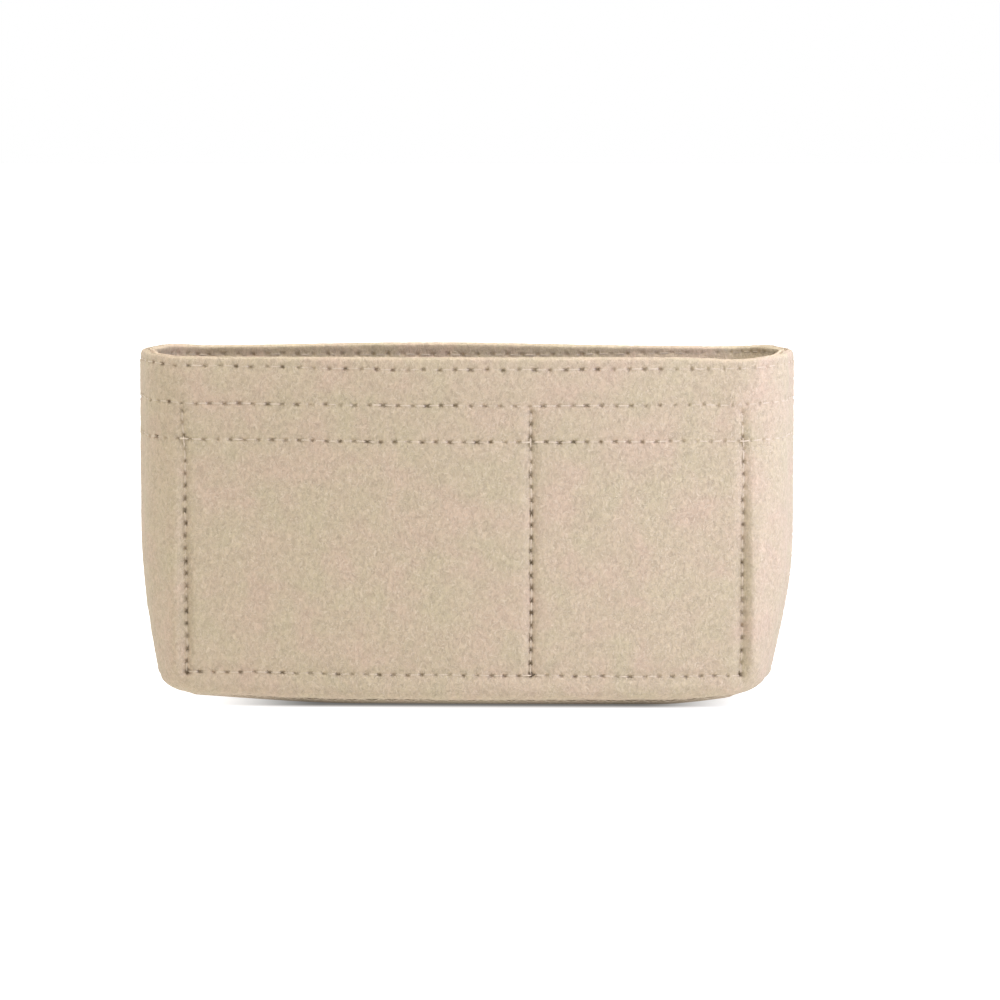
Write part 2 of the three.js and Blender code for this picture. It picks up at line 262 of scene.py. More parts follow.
backRimDrop = 2.9
pocket = {
    "seamX": 82.85, "dividerX": 20, "sideMargin": 2.65, "bottomMargin": 1.2, "mouthRise": 1,
    "gape": 10, "gapePower": 1.3, "uprightPitch": 3.75, "bottomPitch": 4.1,
    "startDrop": 1.7,  # the uprights start this far below the upper row
    "lean": -0.7,  # the outer uprights lean to the left at their tops
    "leanLength": 12,
    "drift": 0.6, "driftStart": 60, "driftLength": 30,  # and stay upright where the wall leans
    "bottomLeft": 0.5, "bottomRight": -0.4,  # how far the bottom row climbs at its two ends
    "bottomStart": 10, "bottomRuns": (60, 40),
}
facingMargin = 4.5
threadWidth = 0.4
zigzag = {"pitch": 6, "reach": 1.6, "rise": -0.08, "footShare": 0.75, "footSwings": 3}
upperHeight = rimHeight - rowPlan["upper_row"]["drop"]
facingBottom = rimHeight - rowPlan["lower_row"]["drop"] - facingMargin
bottomHeight = footTop + pocket["bottomMargin"]
pocketMouth = upperHeight + pocket["mouthRise"]
rng = np.random.default_rng(7)


def makeSeam(lengths, acrosses, upright, pull):
    # needle points a little off their even places
    shake = rng.uniform(-1, 1, (2, len(lengths))) * sewing["jitter"]
    shake[:, [0, -1]] = 0
    pair = [lengths + shake[0], acrosses + shake[1]]
    needles = np.stack(pair[::-1] if upright else pair, -1)
    count = len(lengths)
    gape = np.full(count, float(pulls[pull]["gape"]))
    if pull in ("divider", "outline"):
        grown = smooth((lengths - sewing["gapeStart"]) / sewing["gapeLength"])
        gape = gape * lerp(sewing["topGape"], 1, grown)
    return {"needles": needles, "upright": upright, "pull": pulls[pull],
            "force": gape * rng.uniform(*sewing["force"], count),
            "stretch": gape ** 0.5 * rng.uniform(*sewing["stretch"], count)}


zigzagSwings = 2 * round(wallLength / zigzag["pitch"])
zigzagRuns = np.concatenate([
    np.linspace(zigzag["pitch"] / 2 / wallLength, 1, zigzagSwings, endpoint=False),
    np.linspace(1, 1 + zigzag["footShare"], zigzag["footSwings"], endpoint=False),
])


def zigzagSeam(side, first):
    # needle places of a side seam's zigzag on one half: every second swing
    down = dropAt(zigzagRuns[first::2])
    edge = halfGirth(cornerBelow(down)) - felt["seamGap"] / 2
    return makeSeam(down, side * (edge - zigzag["reach"]), True, "zigzag")


def climbAt(along, plan):
    left = plan["leftClimb"] * smooth((-along - sewing["climbLeft"]) / sewing["climbLength"])
    return left + plan["rightClimb"] * smooth((along - sewing["climbRight"]) / sewing["climbLength"])


def driftAt(down):
    return pocket["drift"] * smooth((down - pocket["driftStart"]) / pocket["driftLength"])


def rowSeam(name, drop):
    plan = rowPlan[name]
    length = halfGirth(cornerBelow(drop)) - sewing["endSetback"]
    count = round(2 * length / plan["pitch"])
    along = np.linspace(-length, length, count + 1)
    return makeSeam(along, drop - climbAt(along, plan), False, plan["pull"])


def uprightSeam(x, lean, pull):
    start = rimHeight - upperHeight + pocket["startDrop"]
    end = rimHeight - bottomHeight
    count = round((end - start) / pocket["uprightPitch"])
    down = np.linspace(start, end, count + 1)
    across = x + lean * (1 - smooth((down - start) / pocket["leanLength"]))
    return makeSeam(down, across + driftAt(down), True, pull)


def bottomSeam():
    count = round(2 * pocket["seamX"] / pocket["bottomPitch"])
    along = np.linspace(-pocket["seamX"], pocket["seamX"], count + 1)
    leftRun, rightRun = pocket["bottomRuns"]
    climb = pocket["bottomLeft"] * smooth((-along - pocket["bottomStart"]) / leftRun)
    climb = climb + pocket["bottomRight"] * smooth((along - pocket["bottomStart"]) / rightRun)
    return makeSeam(along + pocket["drift"], rimHeight - bottomHeight - climb, False, "bottom")


def sewHalf(rimDrop, firstSwing, easeSide):
    seams = {name: rowSeam(name, plan["drop"]) for name, plan in rowPlan.items()}
    seams["rim_row"] = rowSeam("rim_row", rimDrop)
    for name, x, lean, pull in (("left", -pocket["seamX"], pocket["lean"], "outline"),
                                ("divider", pocket["dividerX"], 0, "divider"),
                                ("right", pocket["seamX"], pocket["lean"], "outline")):
        seams[name] = uprightSeam(x, lean, pull)
    seams["bottom"] = bottomSeam()
    for name, side in (("leftEdge", -1), ("rightEdge", 1)):
        seams[name] = zigzagSeam(side, firstSwing)
    for seam in seams.values():
        beyond = (easeSide * seam["needles"][:, 0] - sewing["easeStart"]) / sewing["easeLength"]
        eased = 1 - seam["pull"]["ease"] * smooth(beyond)
        seam["force"], seam["stretch"] = seam["force"] * eased, seam["stretch"] * eased ** 0.5
    return seams


halves = {"front": sewHalf(rowPlan["rim_row"]["drop"], 0, 1), "back": sewHalf(backRimDrop, 1, -1)}


def alongSeam(along, down, seam):
    # distances along a seam and from it, and the seam's own needle places
    needles = seam["needles"]
    across, length = (along, down) if seam["upright"] else (down, along)
    axis = 1 if seam["upright"] else 0
    path = np.interp(length, needles[:, axis], needles[:, 1 - axis])
    return length, across - path, needles[:, axis]


def seamRelief(along, down, seam, holes=1):
    length, gap, marks = alongSeam(along, down, seam)
    relief = -seam["pull"]["depth"] * np.exp(-(gap / seam["pull"]["width"]) ** 2)
    for inside in (length - marks[0], marks[-1] - length):
        relief = relief * smooth(inside / sewing["endFade"] + sewing["endShift"])
    near = np.abs(gap) < 3 * sewing["holeWidth"]
    nearLength, nearGap, sunk = length[near], gap[near], np.zeros(near.sum())
    for mark, force, stretch in zip(marks, seam["force"], seam["stretch"]):
        pick = np.abs(nearLength - mark) < 3 * sewing["holeLength"]
        share = (nearLength[pick] - mark) / (sewing["holeLength"] * stretch)
        mouth = np.exp(-share ** 4 - (nearGap[pick] / sewing["holeWidth"]) ** 2)
        sunk[pick] += holes * force * sewing["hole"] * mouth
    relief[near] -= sunk
    return relief


def nearNeedles(along, down, seams):
    near = np.zeros(along.shape, bool)
    for seam in seams:
        length, gap, marks = alongSeam(along, down, seam)
        slot = np.clip(np.searchsorted(marks, length), 1, len(marks) - 1)
        away = np.minimum(np.abs(length - marks[slot - 1]), np.abs(length - marks[slot]))
        near |= (np.abs(gap) < sewing["fineWidth"]) & (away < sewing["fineLength"])
    return near


grainLayers = ((0.10, 7), (0.07, 2.6), (0.05, 1.25))  # heights and sizes of the matted surface


def grain(x, y, seed):
    return sum(height * patches(x + patternStart, y, size, seed + layer)
               for layer, (height, size) in enumerate(grainLayers))


def rounding(distance, length, depth):
    # how far a soft edge falls away
    share = np.clip(1 - distance / length, 0, 1)
    return depth * (1 - np.sqrt(1 - share ** 2))


def graded(ends, look, reach):
    # places between the ends, closer together near them, with an even number of steps
    probe = np.linspace(*ends, 4000)
    near = smooth(1.6 - np.minimum(probe - ends[0], ends[1] - probe) / reach)  # fine up to 0.6 of reach
    density = lerp(1 / look["cell"], 1 / look["fine"], near)
    total = np.concatenate([[0], np.cumsum((density[1:] + density[:-1]) / 2 * np.diff(probe))])
    steps = 2 * round(total[-1] / 2)
    return np.interp(np.linspace(0, total[-1], steps + 1), total, probe)


def feltGrid(across, down, look):
    return graded(across, look, look["sideReach"]), graded(down, look, look["reach"])


def rimLoop(columns, rows):
    # grid indices once round its border
    u = np.concatenate([np.arange(columns), np.full(rows - 1, columns - 1),
                        np.arange(columns - 2, -1, -1), np.zeros(rows - 2, int)])
    v = np.concatenate([np.zeros(columns, int), np.arange(1, rows),
                        np.full(columns - 1, rows - 1), np.arange(rows - 2, 0, -1)])
    return u, v


def cellQuads(index):
    corners = [index[..., :-1, :-1], index[..., 1:, :-1], index[..., 1:, 1:], index[..., :-1, 1:]]
    return np.stack(corners, -1).reshape(-1, 4)


def gridFaces(columns, rows, first):
    return cellQuads(first + np.arange(columns * rows).reshape(columns, rows))


def splitGrid(u, v, fine, split):
    # A grid whose fine cells are cut into split by split smaller ones. It gives the places of all
    # its points, the grid's own ones first, then its quads and the cells that border on fine ones.
    columns, rows = len(u), len(v)
    places = [np.stack(np.meshgrid(u, v, indexing="ij"), -1).reshape(-1, 2)]
    total = columns * rows
    cuts = np.arange(1, split)

    def addPoints(needed, origin, spans):
        # rows of new points from the origin of each needed edge or cell
        nonlocal total
        first = np.full(needed.shape, -1)
        first[needed] = total + np.arange(needed.sum()) * len(spans)
        step = np.stack([np.append(np.diff(u), 0)[np.nonzero(needed)[0]],
                         np.append(np.diff(v), 0)[np.nonzero(needed)[1]]], -1)
        places.append((origin[needed][:, None] + step[:, None] * spans[None]).reshape(-1, 2))
        total += needed.sum() * len(spans)
        return first

    corners = places[0].reshape(columns, rows, 2)
    padded = np.pad(fine, 1)
    alongU = addPoints(padded[1:-1, :-1] | padded[1:-1, 1:], corners[:-1],
                       np.stack([cuts / split, 0 * cuts], -1))
    alongV = addPoints(padded[:-1, 1:-1] | padded[1:, 1:-1], corners[:, :-1],
                       np.stack([0 * cuts, cuts / split], -1))
    grid = np.stack(np.meshgrid(cuts / split, cuts / split, indexing="ij"), -1).reshape(-1, 2)
    middle = addPoints(fine, corners[:-1, :-1], grid)

    i, j = np.nonzero(fine)
    index = np.empty((len(i), split + 1, split + 1), int)
    for cornerU in (0, 1):
        for cornerV in (0, 1):
            index[:, cornerU * split, cornerV * split] = (i + cornerU) * rows + j + cornerV
        index[:, cornerU * split, 1:-1] = alongV[i + cornerU, j][:, None] + cuts - 1
        index[:, 1:-1, cornerU * split] = alongU[i, j + cornerU][:, None] + cuts - 1
    index[:, 1:-1, 1:-1] = middle[i, j][:, None, None] + np.arange(len(cuts) ** 2).reshape(len(cuts), -1)
    borders = (alongU[:, :-1] >= 0) | (alongU[:, 1:] >= 0) | (alongV[:-1] >= 0) | (alongV[1:] >= 0)
    plain = ~fine & ~borders
    quads = [cellQuads(index), gridFaces(columns, rows, 0)[plain.ravel()]]
    mixed = []
    for i, j in zip(*np.nonzero(~fine & borders)):
        face = []
        for column, row, first, turn in ((i, j, alongU[i, j], 1), (i + 1, j, alongV[i + 1, j], 1),
                                         (i + 1, j + 1, alongU[i, j + 1], -1),
                                         (i, j + 1, alongV[i, j], -1)):
            face.append(int(column * rows + row))
            if first >= 0:
                face += [int(first + share - 1) for share in cuts][::turn]
        mixed.append(face)
    return np.concatenate(places), np.concatenate(quads), mixed


def addObject(name, data):
    added = bpy.data.objects.new(name, data)
    bpy.context.scene.collection.objects.link(added)
    return added


def buildPiece(name, node, slot, points, faces, finish):
    mesh = bpy.data.meshes.new(name)
    mesh.from_pydata((settled(points) * mm).tolist(), [], faces)
    mesh.polygons.foreach_set("use_smooth", np.ones(len(mesh.polygons), bool))
    mesh.materials.append(finish)
    mesh.update()
    piece = addObject(name, mesh)
    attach(piece, "root")
    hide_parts(node)
    return piece


edgeLook = {"pull": 0.3, "rings": 6, "fray": 0.1, "fraySize": 1.3, "frayStart": 300, "split": 3}


def feltSheet(node, kind, u, v, place, nearRelief, farRelief, seed, restsOn, fine=None,
              flat=None, held="stretched", **cut):
    # A closed sheet of felt. The near face has the full grid, the far face every second line.
    thickness, (finish, slot) = felt[kind], feltKinds[kind]
    uu, vv = np.meshgrid(u, v, indexing="ij")
    edge = edgeLook["pull"]
    if fine is None:
        fine = np.zeros((len(u) - 1, len(v) - 1), bool)
    fine[[0, -1]] = False
    fine[:, [0, -1]] = False

    def within(values, ends, pull):
        return np.clip(values, ends[0] + pull, ends[-1] - pull)

    spots, nearQuads, mixed = splitGrid(u, v, fine, edgeLook["split"])
    nearU, nearV = spots.T
    near = place(within(nearU, u, edge), within(nearV, v, edge), -nearRelief(nearU, nearV))
    farU, farV = uu[::2, ::2], vv[::2, ::2]
    far = place(within(farU, u, edge), within(farV, v, edge), thickness + farRelief(farU, farV))
    loopU, loopV = rimLoop(len(u), len(v))
    rimU, rimV = uu[loopU, loopV], vv[loopU, loopV]
    nearDepth, farDepth = -nearRelief(rimU, rimV), thickness + farRelief(rimU, rimV)
    start = edgeLook["frayStart"]
    fray = edgeLook["fray"] * patches(rimU + start, rimV + start, edgeLook["fraySize"], seed)
    rings = []
    for ring in range(1, edgeLook["rings"]):
        share = ring / edgeLook["rings"]
        crown = math.sin(share * math.pi)
        pull = edge * (1 - crown) + fray * crown
        depth = lerp(nearDepth, farDepth, share)
        rings.append(place(within(rimU, u, pull), within(rimV, v, pull), depth))
    rows = len(v)
    farColumns, farRows = farU.shape
    farFirst = len(near)
    ringFirst = farFirst + farColumns * farRows
    count = len(loopU)
    points = np.concatenate([near, far.reshape(-1, 3)] + rings)
    farLoopU, farLoopV = rimLoop(farColumns, farRows)
    loops = [loopU * rows + loopV]
    loops += [ringFirst + ring * count + np.arange(count) for ring in range(edgeLook["rings"] - 1)]
    farLoop = farFirst + farLoopU * farRows + farLoopV
    quads = [nearQuads, gridFaces(farColumns, farRows, farFirst)[:, ::-1]]
    for here, there in zip(loops, loops[1:]):
        quads.append(np.stack([here, there, np.roll(there, -1), np.roll(here, -1)], -1))
    last = loops[-1]
    nextFar = np.roll(farLoop, -1)
    quads.append(np.stack([last[1::2], farLoop, nextFar, np.roll(last[::2], -1)], -1))
    corners = np.stack([last[::2], farLoop, last[1::2]], -1)
    faces = np.concatenate(quads)
    a, b, c, d = (points[faces[:, corner]] for corner in range(4))
    if np.einsum("ij,ij->", a, np.cross(b, c)) + np.einsum("ij,ij->", a, np.cross(c, d)) < 0:
        faces, corners = faces[:, ::-1], corners[:, ::-1]
        mixed = [face[::-1] for face in mixed]
    faces = faces.tolist() + corners.tolist() + mixed
    piece = buildPiece(pieceName(node, "Felt"), node, slot, points, faces, finish)
    width, length = flat or (np.ptp(u), np.ptp(v))


def pieceName(node, kind):
    first, *others = node.split("_")
    return first + "".join(word.capitalize() for word in others) + kind


def turnedBack(points, half):
    return points * (-1, -1, 1) if half == "back" else points


print("stage: sewing laid out")


# Materials
def feed(tree, node, sources, entries):
    # sources are (node, output) by entry, and entries are fixed values by entry
    for entry, value in entries.items():
        node.inputs[entry].default_value = value
    for entry, (source, output) in sources.items():
        tree.links.new(source.outputs[output], node.inputs[entry])


def newNode(tree, kind, sources={}, entries={}, **settings):
    node = tree.nodes.new("ShaderNode" + kind)
    for setting, value in settings.items():
        setattr(node, setting, value)
    feed(tree, node, sources, entries)
    return node


def mathNode(tree, operation, sources, *values):
    # the values go into the entries from the second on
    return newNode(tree, "Math", sources, dict(enumerate(values, 1)), operation=operation)


def noiseNode(tree, coords, size, **values):
    # size is in millimetres
    return newNode(tree, "TexNoise", {"Vector": (coords, 0)},
                   {"Scale": 1 / (size * mm), **values}, noise_dimensions="3D")


def spreadNode(tree, source, fromMin, fromMax, toMin, toMax):
    return newNode(tree, "MapRange", {"Value": source},
                   {"From Min": fromMin, "From Max": fromMax, "To Min": toMin, "To Max": toMax},
                   interpolation_type="SMOOTHSTEP")


def rampNode(tree, source, stops):
    node = newNode(tree, "ValToRGB", {0: (source, 0)})
    ramp = node.color_ramp
    while len(ramp.elements) < len(stops):
        ramp.elements.new(0.5)
    for element, (place, colour) in zip(ramp.elements, stops):
        element.position = place
        element.color = (*colour, 1)
    return node


def reliefNode(tree, source, look):
    return newNode(tree, "Bump", {"Height": (source, 0)},
                   {"Strength": look["bump"], "Distance": look["bumpHeight"] * mm})


def newFinish(name):
    material = bpy.data.materials.new(name)
    material.use_nodes = True
    tree = material.node_tree
    return material, tree, tree.nodes["Principled BSDF"]


def feltMaterial(name, look):
    material, tree, shader = newFinish(name)
    coords = newNode(tree, "TexCoord")
    place = newNode(tree, "Mapping", {0: (coords, "Object")}, {"Location": look["offset"]})
    # broad rosy and olive clouds in the dye
    clouds = noiseNode(tree, place, look["cloudSize"], Detail=3, Roughness=0.6, Distortion=0.4)
    tint = rampNode(tree, clouds, [(0.34, look["olive"]), (0.5, look["base"]), (0.66, look["rosy"])])
    # matted tufts, lighter and darker, combed slightly downwards
    angles = [math.radians(angle) for angle in look["comb"]]
    combed = newNode(tree, "Mapping", {0: (place, 0)},
                     {"Rotation": angles, "Scale": look["combScale"]})
    tufts = noiseNode(tree, combed, look["tuftSize"], Detail=3, Roughness=0.6, Distortion=0.7)
    tuftTone = rampNode(tree, tufts, [(0.3, (look["tuftLow"],) * 3), (0.7, (look["tuftHigh"],) * 3)])
    toned = newNode(tree, "Mix", {6: (tint, 0), 7: (tuftTone, 0)}, {0: 1},
                    data_type="RGBA", blend_type="MULTIPLY")
    # single fibres: thin bent ridges
    bend = noiseNode(tree, combed, look["bendSize"], Detail=2)
    bent = newNode(tree, "VectorMath", {0: (bend, "Color"), 2: (combed, 0)},
                   {1: (look["bendReach"] * mm,) * 3}, operation="MULTIPLY_ADD")
    fibres = noiseNode(tree, bent, look["fibreSize"], Detail=2, Roughness=0.5)
    ridge = mathNode(tree, "SUBTRACT", {0: (fibres, 0)}, 0.5)
    fold = mathNode(tree, "ABSOLUTE", {0: (ridge, 0)})
    line = spreadNode(tree, (fold, 0), 0, look["fibreWidth"], 1, 0)
    strength = mathNode(tree, "MULTIPLY", {0: (line, 0)}, look["fibreTone"])
    lit = newNode(tree, "Mix", {0: (strength, 0), 6: (toned, 2)},
                  {7: (*look["fibreColour"], 1)}, data_type="RGBA", blend_type="MIX")
    # relief from the tufts and fibres
    height = mathNode(tree, "MULTIPLY_ADD", {0: (line, 0), 2: (tufts, 0)}, look["fibreRise"])
    relief = reliefNode(tree, height, look)
    feed(tree, shader, {"Base Color": (lit, 2), "Normal": (relief, 0)},
         {"Roughness": 0.95, "Specular IOR Level": 0.15, "Sheen Weight": look["sheen"],
          "Sheen Roughness": 0.55, "Sheen Tint": (1, 0.93, 0.84, 1)})
    return material


def threadMaterial(name, look):
    material, tree, shader = newFinish(name)
    coords = newNode(tree, "TexCoord")
    place = newNode(tree, "Mapping", {0: (coords, "Object")})
    tone = noiseNode(tree, place, look["toneSize"], Detail=3)
    ramp = rampNode(tree, tone, [(0.35, look["dark"]), (0.65, look["light"])])
    strands = noiseNode(tree, place, look["strandSize"], Detail=2)
    relief = reliefNode(tree, strands, look)
    feed(tree, shader, {"Base Color": (ramp, 0), "Normal": (relief, 0)},
         {"Roughness": 0.6, "Sheen Weight": 0.15})
    return material


beige = {
    "offset": (0, 0, 0), "cloudSize": 14, "tuftSize": 0.95,
    "fibreSize": 1.1, "bendSize": 2.75, "bendReach": 3.3,
    "comb": (25, 38, 15), "combScale": (1, 1, 0.72),
    "base": (0.426, 0.338, 0.234), "rosy": (0.443, 0.335, 0.241), "olive": (0.413, 0.341, 0.227),
    "tuftLow": 0.8, "tuftHigh": 1.16,
    "fibreColour": (0.62, 0.52, 0.39), "fibreTone": 0.4, "fibreWidth": 0.045, "fibreRise": 0.35,
    "bump": 0.8, "bumpHeight": 0.3, "sheen": 0.15,
}
# the facing felt is the same beige painted lighter: painted light on the shaded inside of the box
paintedLightBeige = {**beige, "offset": (0.31, 0.12, 0.07), "tuftLow": 1, "tuftHigh": 1.42}
feltKinds = {  # the finish and the slot of each kind of felt
    "shell": (feltMaterial("beigeShellFelt", beige), "outer_felt"),
    "facing": (feltMaterial("beigeFacingFeltPaintedLighter", paintedLightBeige), "facing_felt"),
    "pocket": (feltMaterial("beigePocketFelt", {**beige, "offset": (0.11, 0.43, 0.29)}), "pocket_felt"),
}
feltKinds["base"] = feltKinds["shell"]
sewingThread = threadMaterial("beigeSewingThread", {
    "toneSize": 1.1, "strandSize": 0.12, "dark": (0.48, 0.39, 0.285), "light": (0.56, 0.465, 0.35),
    "bump": 0.4, "bumpHeight": 0.05,
})

print("stage: materials ready")


# Outer felt of one half
shell = {
    "cell": 0.73, "fine": 0.35, "reach": 2.2, "sideReach": 1,
    "rimRound": (3.3, 1.5), "seamRound": (1.6, 0.75), "innerRound": (0.8, 0.4),
    "fold": 2.1, "foldStart": 25, "foldFull": 70,  # the slack corner folds out beside the pocket
    "foldWall": 2.0, "foldBack": 8, "foldEnd": 8, "foldPast": 5,
    "deepest": 1.6, "innerGrain": 0.6, "seeds": {"front": 20, "back": 40},
}
halfWidth = halfGirth(cornerAt(insert["bellyHeight"])) - felt["seamGap"] / 2
fullDrop = wallLength + footLength


def bellyStation(u):
    return wallPlace(u, rimHeight - insert["bellyHeight"])[0]


def onFelt(u, v):
    return feltPlace(bellyStation(u), wallPlace(u, v)[1])


def wallPoint(u, v, share, inset, half):
    # the side edges lean, one forward and the other back, so that the two halves fit
    near = smooth(1 - (halfWidth - np.abs(u)) / felt["slantReach"])
    s = bellyStation(u + felt["slant"] * (share - 0.5) * near)
    return turnedBack(layerPoint(s, wallPlace(u, v)[1], inset), half)


def cellMiddles(u, v):
    return np.meshgrid((u[1:] + u[:-1]) / 2, (v[1:] + v[:-1]) / 2, indexing="ij")


def edgeFall(u, v, rim, seam):
    fall = rounding(v, *rim) + rounding(halfWidth - np.abs(u), *seam)
    return np.minimum(fall + rounding(fullDrop - v, *seam), shell["deepest"])


def cornerFold(along, down):
    # a ridge just outside the outer uprights: steep towards the seam, long towards the corner
    beyond = np.abs(along - driftAt(down)) - pocket["seamX"]
    ridge = smooth(beyond / shell["foldWall"])
    ridge = ridge * smooth(1 - (beyond - shell["foldWall"]) / shell["foldBack"])
    grown = smooth((down - shell["foldStart"]) / (shell["foldFull"] - shell["foldStart"]))
    ended = smooth((rimHeight - bottomHeight + shell["foldPast"] - down) / shell["foldEnd"])
    return shell["fold"] * ridge * grown * ended


def makeShell(half):
    seams = halves[half]
    seed = shell["seeds"][half]
    u, v = feltGrid((-halfWidth, halfWidth), (0, fullDrop), shell)

    def place(u, v, depth):
        return wallPoint(u, v, depth / felt["shell"], depth, half)

    def outerRelief(u, v):
        along, down = onFelt(u, v)
        relief = grain(along, down, seed) - edgeFall(u, v, shell["rimRound"], shell["seamRound"])
        relief = relief + cornerFold(along, down)
        return relief + sum(seamRelief(along, down, seam) for seam in seams.values())

    def innerRelief(u, v):
        fall = edgeFall(u, v, shell["innerRound"], shell["innerRound"])
        return shell["innerGrain"] * grain(u, v, seed + 5) - fall

    fine = nearNeedles(*onFelt(*cellMiddles(u, v)), seams.values())
    feltSheet(half + "_shell", "shell", u, v, place, outerRelief, innerRelief, seed + 9, "base_panel", fine)


for half in halves:
    makeShell(half)
print("stage: shells sewn")


# Facing band inside the rim of one half; its near face looks into the box
facing = {"cell": 0.72, "fine": 0.4, "reach": 1.8, "sideReach": 1, "rimRound": (1.6, 0.95),
          "edgeRound": (0.9, 0.5), "outerRound": (0.8, 0.3), "deepest": 1.4, "holes": 0.5,
          "seeds": {"front": 60, "back": 70}}
facingDrop = rimHeight - facingBottom


def makeFacing(half):
    seams = halves[half]
    seed = facing["seeds"][half]
    rows = [seams[row] for row in rowPlan]
    u, v = feltGrid((-halfWidth, halfWidth), (0, facingDrop), facing)

    def place(u, v, depth):
        return wallPoint(u, v, depth / felt["facing"], facingInner - depth, half)

    def innerRelief(u, v):
        along, down = onFelt(u, v)
        relief = grain(along, down, seed) - rounding(v, *facing["rimRound"])
        for distance in (facingDrop - v, halfWidth - np.abs(u)):
            relief = relief - rounding(distance, *facing["edgeRound"])
        relief = relief + sum(seamRelief(along, down, row, facing["holes"]) for row in rows)
        return np.maximum(relief, -facing["deepest"])

    def outerRelief(u, v):
        return -rounding(v, *facing["outerRound"])

    fine = nearNeedles(*onFelt(*cellMiddles(u, v)), rows)
    feltSheet(half + "_rim_facing", "facing", u, v, place, innerRelief, outerRelief, seed + 5,
              half + "ShellFelt", fine)


for half in halves:
    makeFacing(half)
print("stage: facings sewn")


# Pocket panel of one half; its near face looks into the box
panel = {"cell": 0.85, "fine": 0.4, "reach": 1.4, "sideReach": 1.4, "edgeRound": (0.9, 0.5),
         "deepest": 1.4, "smoothEdge": 12, "outerGrain": 0.5, "seeds": {"front": 80, "back": 90}}
panelHalf = pocket["seamX"] + pocket["sideMargin"]
panelDrop = pocketMouth - footTop


def pocketInset(z):
    share = np.clip((z - footTop) / (facingBottom - footTop), 0, 1)
    return lerp(facingInset, facingInner + threadWidth + 2 * felt["layerGap"], share)


def gapeAt(along, z):
    height = np.clip((z - bottomHeight) / (pocketMouth - bottomHeight), 0, 1)
    start = np.where(along < pocket["dividerX"], -pocket["seamX"], pocket["dividerX"])
    end = np.where(along < pocket["dividerX"], pocket["dividerX"], pocket["seamX"])
    share = np.clip((along - start) / (end - start), 0, 1)
    swell = np.maximum(np.sin(share * math.pi), 0) ** pocket["gapePower"]
    return pocket["gape"] * swell * np.sin(height * math.pi / 2)


def panelPoint(along, z, depth):
    s, run = wallPlace(along, rimHeight - z)
    return layerPoint(s, run, pocketInset(z) + gapeAt(along, z) + depth)


def makePocketPanel(half):
    seams = halves[half]
    seed = panel["seeds"][half]
    sewn = [seams[name] for name in ("left", "divider", "right", "bottom")]
    u, v = feltGrid((-panelHalf, panelHalf), (0, panelDrop), panel)

    def place(u, v, depth):
        return turnedBack(panelPoint(u, pocketMouth - v, felt["pocket"] - depth), half)

    def innerRelief(u, v):
        down = rimHeight - pocketMouth + v
        relief = grain(u, v, seed)
        for distance in (v, panelDrop - v, panelHalf - np.abs(u)):
            relief = relief - rounding(distance, *panel["edgeRound"])
        relief = relief + sum(seamRelief(u, down, seam) for seam in sewn)
        return np.maximum(relief, -panel["deepest"])

    def outerRelief(u, v):
        level = smooth((panelHalf - np.abs(u)) / panel["smoothEdge"])
        return panel["outerGrain"] * grain(u, v, seed + 5) * level

    middleU, middleV = cellMiddles(u, v)
    fine = nearNeedles(middleU, rimHeight - pocketMouth + middleV, sewn)
    feltSheet(half + "_pocket_panel", "pocket", u, v, place, innerRelief, outerRelief, seed + 7,
              half + "ShellFelt", fine)


for half in halves:
    makePocketPanel(half)
print("stage: pocket panels sewn")


# Base: its middle lies on the floor and its edge is drawn up to the base seam
base = {"bevelRun": 5, "cell": 1.0, "fine": 0.4, "reach": 2.5, "sideReach": 2.5,
        "edgeRound": (1.2, 0.55), "underGrain": 0.3, "seed": 100, "sideSteps": 600, "steps": 4000,
        "clear": 0.02}  # of the floor
baseInset = insert["footRadius"] + felt["baseGap"]
outlineSpan = 12  # s runs this far once round the box: 6 for the front half and 6 for the back


def baseRim(s, inset, z):
    # a point of an outline round the box, inside the wall by inset
    s = (np.asarray(s, float) + 3) % outlineSpan - 3
    onBack = s > 3
    point = planPoint(np.where(onBack, s - 6, s), z + 0 * s, inset)
    return np.where(onBack[..., None], point * (-1, -1, 1), point)


def baseOutline(first, last, count):
    # stations, their points on the base seam, and the lengths along it
    s = np.linspace(first, last, count)
    points = baseRim(s, baseInset, 0)
    steps = np.linalg.norm(np.diff(points, axis=0), axis=1)
    return s, points, np.concatenate([[0], np.cumsum(steps)])


def baseEdge(first, last):
    # one side of the base as a function of the share of its length, corner to corner
    _, points, length = baseOutline(first, last, base["sideSteps"])
    return lambda share: np.stack([np.interp(share, length / length[-1], points[:, axis])
                                   for axis in (0, 1)], -1)


baseSides = {"front": baseEdge(-1.5, 1.5), "right": baseEdge(1.5, 4.5),
             "back": baseEdge(7.5, 4.5), "left": baseEdge(10.5, 7.5)}


def basePlan(across, back):
    # across and back are shares from 0 to 1 over the base
    p, q = across[..., None], back[..., None]
    front, rear = baseSides["front"](across), baseSides["back"](across)
    left, right = baseSides["left"](back), baseSides["right"](back)
    corners = [baseSides[side](np.array([end])) for side in ("front", "back") for end in (0, 1)]
    cornerMix = lerp(lerp(*corners[:2], p), lerp(*corners[2:], p), q)
    width = np.linalg.norm(right - left, axis=-1)
    depth = np.linalg.norm(rear - front, axis=-1)
    edge = np.minimum(np.minimum(across, 1 - across) * width, np.minimum(back, 1 - back) * depth)
    return lerp(front, rear, q) + lerp(left, right, p) - cornerMix, edge


def baseUnderside(edge):
    return insert["seamRise"] * np.clip(1 - edge / base["bevelRun"], 0, 1) ** 2


